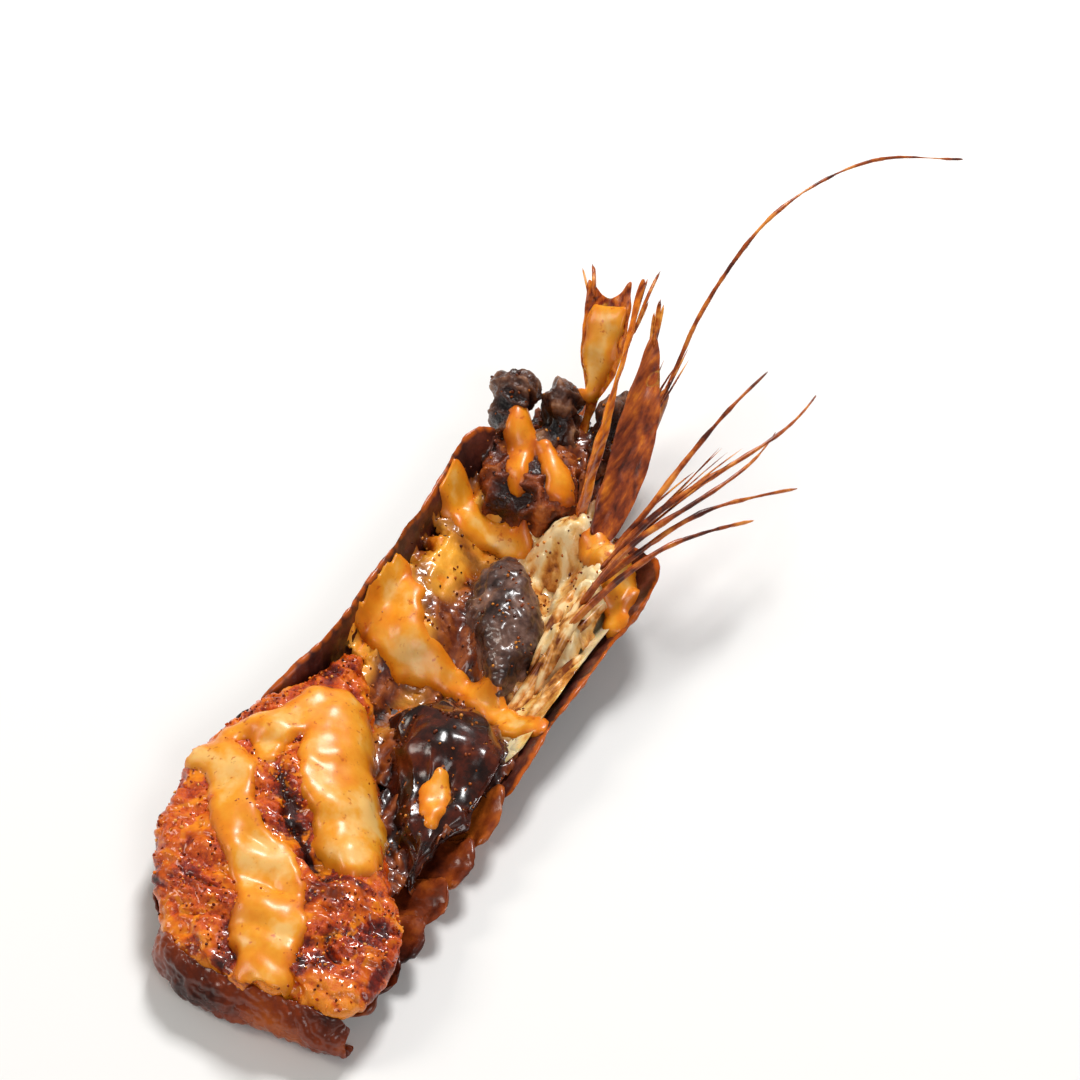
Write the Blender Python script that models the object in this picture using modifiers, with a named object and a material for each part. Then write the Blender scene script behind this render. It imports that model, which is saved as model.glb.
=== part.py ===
"""Grilled king prawn, split along the belly and opened flat, lying with its shell down.

Metres, +Z up. The body lies along X with the head at +X; its left side, seen from above, is at +Y.
Shapes are worked out in millimetres. A station is a distance along the body from the blunt tail end,
and a share runs across the opened shell, from 0 on the keel to 1 at the left edge and -1 at the right.
"""

import math

import bmesh
import bpy
from mathutils import Vector, noise

MM = 0.001

# The body's plan: half widths of the opened shell to each side of its centre line, by station.
BODY_LENGTH = 160.0
BOW = 8.0
LEFT_EDGE = ((-8, 8.5), (-2, 13), (4, 18), (10, 22.5), (20, 27.5), (33, 30.5), (46, 29.5), (58, 27.5),
             (80, 25.5), (98, 22.5), (112, 18.5), (122, 13), (130, 6))
RIGHT_EDGE = ((-8, 23), (-2, 26), (8, 26.5), (30, 25), (50, 23.5), (60, 22.8), (72, 23.5), (84, 25), (95, 27.5),
              (103, 28.5), (110, 26), (116, 21), (123, 13.5), (130, 6))

# How high each side of the shell stands above the keel, by station, and how sharply it turns up.
LEFT_RISE = ((-8, 3.5), (10, 5.5), (40, 7), (56, 11), (70, 14), (100, 15), (120, 12), (130, 8))
RIGHT_RISE = ((-8, 3.5), (10, 5.5), (40, 7), (60, 10), (90, 12), (112, 16), (123, 12), (130, 8))
LEFT_CURL = 2.3
RIGHT_CURL = 1.9
FLAT_SHARE = 0.25

# The head's left wall turns in over its contents near the rim.
TURN_IN = ((48, 0), (64, 4.5), (98, 4.5), (112, 1.5), (120, 0))
TURN_START = 0.72

# The keel leaves the floor at both ends.
TAIL_LIFT, TAIL_LIFT_START, TAIL_LIFT_RUN = 4.0, 4.0, 12.0
BOW_LIFT, BOW_LIFT_START, BOW_LIFT_RUN = 6.5, 100.0, 30.0

# The carapace: two halves cracked apart along the keel, with a pale lining inside the right one.
CARAPACE_WALL = 0.8
CRACK_SHARE = 0.03
CARAPACE_REAR = 45.0
REAR_SWEEP = {"left": 6.0, "right": 6.0}
CARAPACE_FRONT = {"left": 129.0, "right": 119.0}
FRONT_SWEEP = {"left": 8.0, "right": 14.0}
LINING_WALL, LINING_LIFT = 0.5, 1.2

# Six shell rings of the tail, each tucked under the one in front of it.
RING_FRONTS = (48.0, 39.5, 30.5, 21.5, 13.0, 5.0)
LAST_RING_REAR, LAST_RING_SWEEP = -5.4, 5.0
RING_WALL, RING_TUCK, RING_LAP = 0.65, 1.3, 1.8
TUCK_RUN = 3.0
RING_SCALLOP = 0.09

# Soft parts stand on the inside of the shell.
BED_LIFT = 2.45
LEAST_MOUND = 1.0
MEAT_MARGIN, HEAD_MARGIN = 1.0, 3.0
CREASE_DEPTH, CREASE_WIDTH = 1.5, 1.7
GROOVE_DEPTH, GROOVE_WIDTH = 3.4, 0.17
UNEVEN_DEPTH, UNEVEN_SIZE = 1.1, 9.0

# Tail flesh, between two stations. The opened head leaves it a slanting front at the right.
MEAT_ENDS = (-4.0, 68.0)
MEAT_RIGHT = ((-4, -25.5), (0, -26.5), (8, -27), (15, -25), (25, -18.5), (35, -12), (47, -5.2), (55, -1),
              (62, 3), (70, 8))
MEAT_RIDGE = ((-8, 12), (2, 15), (18, 16.5), (36, 16.5), (52, 15), (68, 11))
HEAD_START, HEAD_RUN = 34.0, 12.0

# Tail fan, burnt short and folded under the blunt end: one band, its profile as (inward, height).
FAN_HALF_WIDTH, FAN_WALL = 20.0, 0.8
FAN_BACK, FAN_MIDDLE = -9.0, -5.0
FAN_SWEEP, FAN_STRAIGHT, FAN_TUCK, FAN_DROOP = 0.024, 4.0, 1.2, 0.3
FAN_PROFILE = ((3.4, 11.0), (1.2, 8.6), (0.0, 5.4), (0.6, 2.2), (4.6, 0.6))

# Orange tissue at the left of the head: its right edge and its height.
TISSUE_ENDS = (69.5, 108.0)
TISSUE_RIGHT = ((69, -1.0), (74, -6.0), (79, -6.5), (84, -3.4), (92, 0.0), (100, 0.6), (110, 1.5))
TISSUE_RIDGE = ((68, 11.5), (85, 12.5), (112, 14))

# The face: its edges, its height, and how it hollows out under the eyes.
FACE_ENDS = (108.5, 133.0)
FACE_LEFT = ((108, 5.5), (117, 5.5), (124, 4.5), (133, 5.5))
FACE_RIGHT = ((108, -9.0), (113, -13.0), (121, -13.5), (133, -9.0))
FACE_RIDGE = ((108, 13), (116, 14.5), (121, 13), (126, 10), (134, 9.5))
FACE_UNDERSIDE = ((118, 30), (121, 18), (124, 12), (129, 8.2), (134, 7.5))

# Head gear.
BLADE_WALL = 0.6
ANTENNA_BASE_RADIUS = 2.3
ANTENNA_RADIUS, ANTENNA_TIP = 0.55, 0.22
LEG_RADIUS, LEG_TIP = 0.9, 0.22

COLOURS = {
    "grilled_meat": ("B8611F", 0.4),
    "tail_shell": ("8A4A28", 0.35),
    "carapace": ("6E3F2C", 0.35),
    "shell_lining": ("F0DDA2", 0.35),
    "head_tissue": ("A5602A", 0.4),
    "dark_liver": ("3A1C12", 0.22),
    "charred_head": ("4A2C1E", 0.45),
    "blade": ("B4642A", 0.4),
    "antenna_base": ("E3C277", 0.35),
    "limb": ("B05E26", 0.4),
}


# Curves and heights


def smooth(share):
    share = min(max(share, 0.0), 1.0)
    return share * share * (3.0 - 2.0 * share)


def along(points, station):
    """A smooth curve through (station, value) points, read at one station."""
    if station <= points[0][0]:
        return points[0][1]
    if station >= points[-1][0]:
        return points[-1][1]
    index = max(i for i, point in enumerate(points) if point[0] <= station)
    low, high = points[index], points[index + 1]
    before, after = points[max(index - 1, 0)], points[min(index + 2, len(points) - 1)]
    span = high[0] - low[0]
    t = (station - low[0]) / span
    start = span * (high[1] - before[1]) / (high[0] - before[0])
    end = span * (after[1] - low[1]) / (after[0] - low[0])
    keep = low[1] * (2 * t**3 - 3 * t**2 + 1) + high[1] * (3 * t**2 - 2 * t**3)
    return keep + start * (t**3 - 2 * t**2 + t) + end * (t**3 - t**2)


def route_point(route, t):
    """A point at share t of a smooth route through 3D points."""
    steps = len(route) - 1
    return Vector(
        along([(i / steps, point[axis]) for i, point in enumerate(route)], t) for axis in range(3)
    )


def centre(station):
    return -BOW * math.sin(math.pi * station / BODY_LENGTH)


def keel(station):
    tail = TAIL_LIFT * smooth((TAIL_LIFT_START - station) / TAIL_LIFT_RUN)
    return tail + BOW_LIFT * smooth((station - BOW_LIFT_START) / BOW_LIFT_RUN)


def side_shape(station, left):
    edge = along(LEFT_EDGE if left else RIGHT_EDGE, station)
    rise = along(LEFT_RISE if left else RIGHT_RISE, station)
    return edge, rise, LEFT_CURL if left else RIGHT_CURL


def wall_height(station, share, left):
    _, rise, curl = side_shape(station, left)
    up = max(0.0, abs(share) - FLAT_SHARE) / (1.0 - FLAT_SHARE)
    return keel(station) + rise * up**curl


def shell_point(station, share, lift):
    """A point of the opened shell, moved in from its outer surface by lift."""
    left = share > 0
    edge = side_shape(station, left)[0] - lift
    turned = along(TURN_IN, station) * smooth((share - TURN_START) / (1 - TURN_START)) if left else 0.0
    y = centre(station) + edge * share - turned
    return Vector((station, y, wall_height(station, share, left) + lift))


def inner_left(station):
    """The left edge of the soft parts that fill the head shell."""
    return centre(station) + along(LEFT_EDGE, station) - HEAD_MARGIN - along(TURN_IN, station)


def bed_height(station, y):
    """Height of the surface that the soft parts stand on."""
    side = y - centre(station)
    edge = side_shape(station, side > 0)[0] - BED_LIFT
    share = min(abs(side) / edge, 1.0)
    return wall_height(station, share, side > 0) + BED_LIFT


def uneven(point, size, seed):
    """Gentle unevenness from -1 to 1 with lumps of about the given size."""
    return noise.noise(Vector(point) / size + Vector((seed, 0.0, 0.0)))


# Objects and materials


def clear_scene():
    for obj in list(bpy.data.objects):
        bpy.data.objects.remove(obj)


def linear(channel):
    return channel / 12.92 if channel <= 0.04045 else ((channel + 0.055) / 1.055) ** 2.4


def material(name):
    found = bpy.data.materials.get(name)
    if found:
        return found
    colour, roughness = COLOURS[name]
    made = bpy.data.materials.new(name)
    made.use_nodes = True
    shader = made.node_tree.nodes["Principled BSDF"]
    rgb = [linear(int(colour[i : i + 2], 16) / 255) for i in (0, 2, 4)]
    shader.inputs["Base Color"].default_value = (*rgb, 1.0)
    shader.inputs["Roughness"].default_value = roughness
    shader.inputs["Metallic"].default_value = 0.0
    made.diffuse_color = (*rgb, 1.0)
    return made


def finished(name, bm, material_name):
    """Turns a bmesh in millimetres into a named object in metres."""
    bmesh.ops.scale(bm, vec=(MM, MM, MM), verts=bm.verts)
    mesh = bpy.data.meshes.new(name)
    bm.to_mesh(mesh)
    bm.free()
    mesh.shade_smooth()
    obj = bpy.data.objects.new(name, mesh)
    obj.data.materials.append(material(material_name))
    prawn.objects.link(obj)
    return obj


def sheet(name, columns, rows, place, wall, material_name):
    """A thin piece: a grid laid on place(u, v), u and v from 0 to 1, and thickened upwards."""
    bm = bmesh.new()
    bmesh.ops.create_grid(bm, x_segments=columns, y_segments=rows, size=0.5)
    for vertex in bm.verts:
        vertex.co = place(vertex.co.x + 0.5, vertex.co.y + 0.5)
    obj = finished(name, bm, material_name)
    solidify = obj.modifiers.new("wall", "SOLIDIFY")
    solidify.thickness = wall * MM
    solidify.offset = 1.0
    return obj


def mound(name, ends, left_edge, right_edge, crest, fullness, detail, material_name, bed=bed_height):
    """A soft piece on a bed, between two stations and two edges that depend on the station."""
    rings, columns = detail
    bm = bmesh.new()
    bmesh.ops.create_uvsphere(bm, u_segments=columns, v_segments=rings, radius=1.0)
    for vertex in bm.verts:
        reach, angle = vertex.co.z, math.atan2(vertex.co.y, vertex.co.x)
        station = (ends[0] + ends[1] + reach * (ends[1] - ends[0])) / 2
        narrowing = max(0.0, 1 - abs(reach) ** fullness) ** (1 / fullness)
        across = math.copysign(abs(math.cos(angle)) ** 0.85, math.cos(angle)) * narrowing
        up = max(0.0, math.sin(angle)) ** 0.75 * narrowing
        middle = (left_edge(station) + right_edge(station)) / 2
        half = (left_edge(station) - right_edge(station)) / 2
        y = middle + half * across
        low = bed(station, y)
        vertex.co = Vector((station, y, low + up * max(LEAST_MOUND, crest(station, across, y) - low)))
    return finished(name, bm, material_name)


def leaf(name, route, half_width, outline, cup, side, material_name, wall=BLADE_WALL, lengths=9, notch=0.0):
    """A thin cupped blade along a route, its half width following outline(t) and its tip notched."""
    across_axis = Vector(side).normalized()

    def place(u, v):
        shift = 2 * v - 1
        here = route_point(route, u * (1 - notch * (1 - abs(shift))))
        ahead = (route_point(route, min(u + 0.02, 1)) - route_point(route, max(u - 0.02, 0))).normalized()
        across = (across_axis - ahead * across_axis.dot(ahead)).normalized()
        up = ahead.cross(across)
        return here + across * half_width * outline(u) * shift + up * cup * shift * shift * outline(u)

    return sheet(name, lengths, 3, place, wall, material_name)


def rod(name, route, radius, tip, points, material_name, sides=1):
    """A thin round limb along a smooth route, tapering to its tip."""
    curve = bpy.data.curves.new(name, "CURVE")
    curve.dimensions = "3D"
    curve.bevel_depth = radius * MM
    curve.bevel_resolution = sides
    curve.use_fill_caps = True
    spline = curve.splines.new("POLY")
    spline.points.add(points - 1)
    for i, point in enumerate(spline.points):
        t = i / (points - 1)
        point.co = (*(route_point(route, t) * MM), 1.0)
        point.radius = 1 + (tip / radius - 1) * t
    curve.materials.append(material(material_name))
    obj = bpy.data.objects.new(name, curve)
    prawn.objects.link(obj)
    return obj


def lump(name, middle, radii, ahead, knob, seed, material_name):
    """A rounded knob of flesh or shell, stretched along ahead and roughened."""
    bm = bmesh.new()
    bmesh.ops.create_icosphere(bm, subdivisions=3, radius=1.0)
    turn = Vector(ahead).to_track_quat("X", "Z")
    for vertex in bm.verts:
        narrow = 1.0 if vertex.co.x > 0 else 1.0 + 0.35 * vertex.co.x
        shape = Vector((vertex.co.x * radii[0], vertex.co.y * radii[1] * narrow,
                        vertex.co.z * radii[2] * narrow))
        rough = 1 + knob * uneven(shape, min(radii), seed)
        vertex.co = Vector(middle) + turn @ (shape * rough)
    return finished(name, bm, material_name)


# Tail


def ring_front(index, share):
    """Station of a tail ring's front edge, which sweeps forward on the first ring to follow the carapace."""
    if index == 0:
        return carapace_rear(share) + RING_LAP + 1.0
    return RING_FRONTS[index] + 1.5 * share * share


def add_ring(index):
    last = index == len(RING_FRONTS) - 1

    def place(u, v):
        share = (1 - 2 * v) * (1 - RING_SCALLOP + RING_SCALLOP * math.sin(math.pi * u) ** 0.6)
        front = ring_front(index, share)
        rear = LAST_RING_REAR + LAST_RING_SWEEP * share**2 if last else ring_front(index + 1, share) - RING_LAP
        station = front + (rear - front) * u
        lift = RING_TUCK * (1 - smooth((front - RING_LAP - 1.2 - station) / TUCK_RUN))
        return shell_point(station, share, lift)

    sheet(f"tail_ring_{index + 1}", 4, 12, place, RING_WALL, "tail_shell")


def add_tail_meat():
    def left_edge(station):
        in_shell = smooth((station - HEAD_START) / HEAD_RUN)
        return inner_left(station) + (HEAD_MARGIN - MEAT_MARGIN) * (1 - in_shell)

    def right_edge(station):
        return along(MEAT_RIGHT, station)

    def crest(station, across, y):
        ridge = along(MEAT_RIDGE, station)
        creases = sum(math.exp(-(((station - front + 1) / CREASE_WIDTH) ** 2)) for front in RING_FRONTS)
        side = (y - centre(station)) / along(LEFT_EDGE, station)
        groove = GROOVE_DEPTH * math.exp(-((side / GROOVE_WIDTH) ** 2)) * smooth((HEAD_START - station) / HEAD_RUN)
        lumps = UNEVEN_DEPTH * uneven((station, y, 0), UNEVEN_SIZE, 3.0)
        return ridge - CREASE_DEPTH * creases * (1 - 0.5 * across**2) - groove + lumps

    mound("tail_meat", MEAT_ENDS, left_edge, right_edge, crest, 6.0, (32, 22), "grilled_meat")


def add_fan():
    steps = len(FAN_PROFILE) - 1
    inward = [(i / steps, point[0]) for i, point in enumerate(FAN_PROFILE)]
    height = [(i / steps, point[1]) for i, point in enumerate(FAN_PROFILE)]

    def place(u, v):
        side = (2 * v - 1) * FAN_HALF_WIDTH
        fold = 0.35 * uneven((side, u * 4, 0), 6.0, 21.0)
        end = (side / FAN_HALF_WIDTH) ** 8
        bend = FAN_SWEEP * max(0.0, side - FAN_STRAIGHT) ** 2 + FAN_TUCK * end
        station = FAN_BACK + bend + along(inward, u) + fold
        return Vector((station, FAN_MIDDLE + side, along(height, u) * (1 - FAN_DROOP * end)))

    sheet("tail_fan", 7, 16, place, FAN_WALL, "tail_shell")


# Head shell


def carapace_rear(share):
    return CARAPACE_REAR + REAR_SWEEP["left" if share > 0 else "right"] * abs(share) ** 1.5


def carapace_front(share):
    side = "left" if share > 0 else "right"
    return CARAPACE_FRONT[side] - FRONT_SWEEP[side] * abs(share) ** 2


def add_carapace(side):
    sign = 1 if side == "left" else -1

    def place(u, v):
        reach = v if sign < 0 else 1 - v
        share = sign * (CRACK_SHARE + (1 - CRACK_SHARE) * reach)
        front, rear = carapace_front(share), carapace_rear(share)
        station = front + (rear - front) * u
        ragged = 1 + 0.035 * reach * uneven((station, 0, 0), 7.0, 8.0 * sign)
        return shell_point(station, share * ragged, 0.0)

    sheet(f"carapace_{side}", 18, 8, place, CARAPACE_WALL, "carapace")


def add_lining():
    """The pale inner skin of the right side of the carapace, with a torn front and rear."""

    def place(u, v):
        share = -0.2 - 0.72 * v
        tear = 3.0 * uneven((share * 40, 0, 0), 8.0, 5.0)
        front = carapace_front(share) - 9 + tear
        rear = carapace_rear(share) + 8 + tear
        return shell_point(front + (rear - front) * u, share, LINING_LIFT)

    sheet("shell_lining", 14, 6, place, LINING_WALL, "shell_lining")


# Head contents


def add_head_tissue():
    def right_edge(station):
        return along(TISSUE_RIGHT, station)

    def crest(station, across, y):
        return along(TISSUE_RIDGE, station) + UNEVEN_DEPTH * uneven((station, y, 0), 7.0, 11.0)

    mound("head_tissue", TISSUE_ENDS, inner_left, right_edge, crest, 3.0, (16, 16), "head_tissue")


def add_face():
    """The dark mass in front, which carries the eyes and the mouth."""

    def left_edge(station):
        return along(FACE_LEFT, station)

    def right_edge(station):
        return along(FACE_RIGHT, station)

    def crest(station, across, y):
        return along(FACE_RIDGE, station) + UNEVEN_DEPTH * uneven((station, y, 0), 5.0, 14.0)

    def bed(station, y):
        return min(bed_height(station, y), along(FACE_UNDERSIDE, station))

    mound("face", FACE_ENDS, left_edge, right_edge, crest, 3.2, (17, 16), "charred_head", bed)


# The two dark glossy lobes that lie open in the head: ends, left edge, right edge and height.
LIVERS = {
    "rear": ((26, 70), ((26, -20), (35, -13.6), (47, -6.8), (55, -2.8), (62, 0.5), (70, -1.5)),
             ((26, -22), (35, -24), (47, -26), (58, -26.4), (65, -24), (70, -18)), 12.5),
    "front": ((71, 102), ((71, -15), (77, -10.5), (84, -5.6), (92, -2.4), (102, -4)),
              ((71, -19), (80, -20.3), (91, -18), (98, -13), (102, -9)), 12.5),
}


def add_liver(part):
    ends, left, right, height = LIVERS[part]

    def crest(station, across, y):
        return height + UNEVEN_DEPTH * uneven((station, y, 0), 7.0, height)

    mound(f"dark_liver_{part}", ends, lambda station: along(left, station), lambda station: along(right, station),
          crest, 2.4, (13, 14), "dark_liver")


def add_eyes_and_mouth():
    lump("eye_left", (129.5, 4.6, 17.0), (4.9, 3.9, 4.2), (0.6, 0.5, 0.35), 0.2, 6.0, "charred_head")
    lump("eye_right", (130.5, -3.4, 16.8), (4.8, 3.6, 4.1), (0.9, -0.1, 0.3), 0.2, 7.0, "charred_head")
    lump("mouthparts", (131.5, -12.6, 15.6), (5.4, 2.8, 3.8), (0.9, -0.1, 0.3), 0.25, 8.0, "charred_head")


# Head gear


def blade_outline(t):
    return max(0.05, math.sin(math.pi * min(1.0, 0.16 + 0.84 * t**0.9)) ** 0.7)


def add_blades():
    leaf("antennal_scale_left", ((129.5, -8.3, 11.5), (134, -8.3, 16.0), (139, -8.0, 22.0), (145, -6.6, 27.5),
                                 (151, -4.8, 32.4)),
         4.8, lambda t: 0.18 + 0.8 * smooth((t - 0.2) / 0.35), 1.0, (0.15, 1, -0.1), "blade", notch=0.22)
    leaf("antennal_scale_right", ((108, -21.0, 11.5), (118, -20.8, 16.5), (128, -19.6, 21.0), (136, -18.0, 24.6),
                                  (145, -15.6, 28.4)),
         3.9, blade_outline, 1.3, (0.1, 1, 0.45), "blade")
    leaf("head_spine", ((110, -15.6, 12.5), (119, -14.8, 20.0), (129, -13.9, 26.0), (139, -12.6, 30.6),
                        (150, -10.6, 34.4)),
         1.9, lambda t: 1.02 - 0.9 * t, 0.5, (0, 0.35, 1), "blade", 0.9, 12)
    leaf("rostrum", ((133, -4.5, 6.6), (140, -4.0, 8.0), (147, -3.2, 10.8), (156, -2.0, 15.0)),
         1.6, lambda t: 1.02 - 0.85 * t, 0.3, (0, 0.1, 1), "carapace", 0.9)


def add_antenna():
    """The right antenna on its tube. The left one is burnt off."""
    base = ((117, -17.6, 9.6), (130, -18.8, 12.6), (142, -19.5, 16.4))
    rod("antenna_base", base, ANTENNA_BASE_RADIUS, ANTENNA_BASE_RADIUS * 0.7, 7, "antenna_base", 2)
    route = ((143.8, -19.5, 17), (158, -20.5, 24.5), (178, -25.5, 31), (198, -36, 30), (211, -50, 24))
    rod("antenna", route, ANTENNA_RADIUS, ANTENNA_TIP, 24, "limb")


# Walking legs: where each starts, how far it reaches forward, and where and how high its tip ends up.
# They leave the head in a row, arch over its edge in turn high and low, and sway to either side.
LEG_STARTS = (86, 91, 95, 99, 103)
LEG_REACHES = (34, 46, 36, 50, 42)
LEG_TIPS = (-46, -43, -50, -46, -38)
LEG_TIP_HEIGHTS = (16, 21, 15, 20, 27)
LEG_ROOT, LEG_ROOT_STEP = -24.4, -0.3
LEG_ROOT_HEIGHT, LEG_ROOT_RISE = 13.0, 0.6
LEG_TOP, LEG_TOP_STEP = 19.6, 1.8
LEG_ARCH, LEG_SWAY = 2.4, 1.8


def add_leg(index):
    """One walking leg: it leaves the opened head, passes over the shell's edge and points forward."""
    start, reach, end = LEG_STARTS[index], LEG_REACHES[index], LEG_TIP_HEIGHTS[index]
    root = LEG_ROOT + LEG_ROOT_STEP * index
    out = LEG_TIPS[index] - root
    top = LEG_TOP + LEG_TOP_STEP * (index % 2)
    sway = LEG_SWAY * (-1) ** index
    route = (
        (start, root, LEG_ROOT_HEIGHT + LEG_ROOT_RISE * index),
        (start + reach * 0.22, root + out * 0.26, top),
        (start + reach * 0.5, root + out * 0.6 + sway, top + LEG_ARCH),
        (start + reach * 0.76, root + out * 0.88 + sway, (top + end) / 2 + LEG_ARCH),
        (start + reach, root + out, end),
    )
    rod(f"leg_{index + 1}", route, LEG_RADIUS, LEG_TIP, 9, "limb")


def stand_on_floor():
    """Hangs every piece on an empty and moves it so that the box's bottom centre is the origin."""
    bpy.context.view_layer.update()
    graph = bpy.context.evaluated_depsgraph_get()
    corners = []
    for obj in prawn.objects:
        mesh = obj.evaluated_get(graph).to_mesh()
        corners += [vertex.co.copy() for vertex in mesh.vertices]
    low = Vector(min(corner[i] for corner in corners) for i in range(3))
    high = Vector(max(corner[i] for corner in corners) for i in range(3))
    root = bpy.data.objects.new("root", None)
    root.location = (-(low.x + high.x) / 2, -(low.y + high.y) / 2, -low.z)
    for obj in list(prawn.objects):
        obj.parent = root
    prawn.objects.link(root)


clear_scene()
prawn = bpy.data.collections.new("grilled_king_prawn")
bpy.context.scene.collection.children.link(prawn)
add_tail_meat()
for ring in range(len(RING_FRONTS)):
    add_ring(ring)
add_fan()
for half in ("left", "right"):
    add_carapace(half)
add_lining()
add_head_tissue()
for part in LIVERS:
    add_liver(part)
add_face()
add_eyes_and_mouth()
add_blades()
add_antenna()
for leg in range(len(LEG_STARTS)):
    add_leg(leg)
stand_on_floor()
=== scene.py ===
# %% [markdown]
# # A grilled king prawn
#
# The prawn was split along the belly, opened like a canoe and grilled with its shell down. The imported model
# gives every piece its place. This lesson gives each one the surface that heat, oil and spice left on it, and
# pours the sauce last, because sauce takes the shape of whatever it lands on.

# %% The frame
import math
import random

import bmesh
import bpy
import numpy as np
from mathutils import Euler, Matrix, Vector, kdtree, noise
from mathutils.bvhtree import BVHTree


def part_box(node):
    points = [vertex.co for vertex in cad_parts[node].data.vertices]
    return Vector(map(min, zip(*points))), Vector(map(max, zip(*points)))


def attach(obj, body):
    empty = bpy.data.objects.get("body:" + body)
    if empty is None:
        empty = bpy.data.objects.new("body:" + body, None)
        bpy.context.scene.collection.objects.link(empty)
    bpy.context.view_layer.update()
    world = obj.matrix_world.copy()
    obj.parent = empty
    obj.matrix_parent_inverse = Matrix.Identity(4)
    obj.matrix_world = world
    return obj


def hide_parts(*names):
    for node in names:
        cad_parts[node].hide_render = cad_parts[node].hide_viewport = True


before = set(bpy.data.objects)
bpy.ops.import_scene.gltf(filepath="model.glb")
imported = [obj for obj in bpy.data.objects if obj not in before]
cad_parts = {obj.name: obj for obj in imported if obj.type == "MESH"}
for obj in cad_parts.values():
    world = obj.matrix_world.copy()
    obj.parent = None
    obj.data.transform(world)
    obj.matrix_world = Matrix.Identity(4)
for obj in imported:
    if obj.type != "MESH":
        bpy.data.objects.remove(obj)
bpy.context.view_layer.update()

MM = 0.001
scene = bpy.context.scene
scene.view_settings.view_transform = "Standard"

# %% [markdown]
# A place on the prawn is named by its station, the distance along the body from the blunt tail end, and by its
# distance to the left of the body's straight axis. Both are in millimetres. The tail flesh starts 4 mm behind
# station 0, and the folded fan's middle lies 5 mm to the right of the axis, so two boxes give the origin.

# %% Places on the body
FLESH_START = -4.0
FAN_MIDDLE = -5.0
origin_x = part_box("tail_meat")[0].x - FLESH_START * MM
origin_y = (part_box("tail_fan")[0].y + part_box("tail_fan")[1].y) / 2 - FAN_MIDDLE * MM


def place(station, left, height=0.0):
    return Vector((origin_x + station * MM, origin_y + left * MM, height * MM))


def station_of(point):
    return (point.x - origin_x) / MM


def left_of(point):
    return (point.y - origin_y) / MM


print("station 0 is at", tuple(round(value / MM, 1) for value in place(0, 0)), "mm")

# %% [markdown]
# Food has no flat faces, so every surface here gets its relief from noise whose lumps have a known size in
# millimetres. Folding that noise at zero gives puffed clumps with sharp valleys, as in crust and char, and
# turning the folded noise over gives sharp ridges with soft valleys, as in torn fibres. A soft step fades one
# thing into another.

# %% Soft steps, lumps, clumps and ridges
FOLD_GAIN = 2.4  # brings folded noise up to about 1


def soft_step(low, high, value):
    share = min(max((value - low) / (high - low), 0.0), 1.0)
    return share * share * (3 - 2 * share)


def lumps(point, size, seed):
    """Noise from about -1 to 1, its lumps size mm across."""
    return noise.noise(point / (size * MM) + Vector((seed, seed * 1.7, 0)))


def clumps(point, size, seed):
    """Puffed noise from 0 to about 1, with sharp valleys size mm apart."""
    return min(abs(lumps(point, size, seed)) * FOLD_GAIN, 1.0)


def ridges(point, size, seed):
    """Sharp-crested noise from 0 to 1, its crests size mm apart."""
    return 1.0 - clumps(point, size, seed)


print("a soft step is", soft_step(0, 1, 0.25), "a quarter of the way up")

# %% [markdown]
# A CAD node arrives as loose triangles. Its copy is merged, and its triangles are paired into quads, because
# subdivision and voxel remeshing both give a smoother surface from that. Thick, lumpy pieces are remeshed, so
# that even quads can carry fine relief. Thin ones would lose their walls that way, and are subdivided instead.

# %% Working copies of the CAD nodes
SAME_POINT = 0.001
QUAD_ANGLE = 0.7  # radians between two triangles that still make one quad


def copied(name):
    bm = bmesh.new()
    bm.from_mesh(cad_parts[name].data)
    bmesh.ops.remove_doubles(bm, verts=bm.verts, dist=SAME_POINT * MM)
    bmesh.ops.join_triangles(bm, faces=bm.faces, angle_face_threshold=QUAD_ANGLE,
                             angle_shape_threshold=QUAD_ANGLE)
    return bm


def through(bm, *modifiers):
    """The bmesh after each (kind, settings) modifier has worked on it."""
    mesh = bpy.data.meshes.new("work")
    bm.to_mesh(mesh)
    bm.free()
    worker = bpy.data.objects.new("work", mesh)
    scene.collection.objects.link(worker)
    for kind, settings in modifiers:
        modifier = worker.modifiers.new(kind, kind)
        for name, value in settings.items():
            setattr(modifier, name, value)
    result = bmesh.new()
    result.from_object(worker, bpy.context.evaluated_depsgraph_get())
    bpy.data.objects.remove(worker)
    bpy.data.meshes.remove(mesh)
    return result


def even(bm, voxel, rounds=3):
    """The same solid with even quads voxel mm wide, softened a little, ready to take relief."""
    return through(bm, ("REMESH", {"mode": "VOXEL", "voxel_size": voxel * MM}),
                   ("SMOOTH", {"factor": 0.5, "iterations": rounds}))


def finer(bm, levels):
    """The same thin piece with its facets rounded by subdivision."""
    return through(bm, ("SUBSURF", {"levels": levels, "render_levels": levels}))


print("the CAD has", len(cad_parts), "nodes")

# %% [markdown]
# Relief moves each point along its normal by a height in millimetres. The height is also kept on the mesh, as
# an attribute, so that a material can darken the hollows as painted shade and brighten the crests as painted
# light.
# A bump alone would leave the outline smooth, which gives a food model away at once.


# %% Relief and finished pieces
def raised(bm, height, low, high):
    """Moves every point by height(point, normal) mm, down to the floor at most.

    The height is stored as relief, from 0 at low to 1 at high.
    """
    bm.normal_update()
    relief = bm.verts.layers.float.new("relief")
    moves = [height(vertex.co, vertex.normal) for vertex in bm.verts]
    for vertex, move in zip(bm.verts, moves):
        vertex.co += vertex.normal * move * MM
        vertex.co.z = max(vertex.co.z, 0.0)
        vertex[relief] = (move - low) / (high - low)
    return bm


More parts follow.
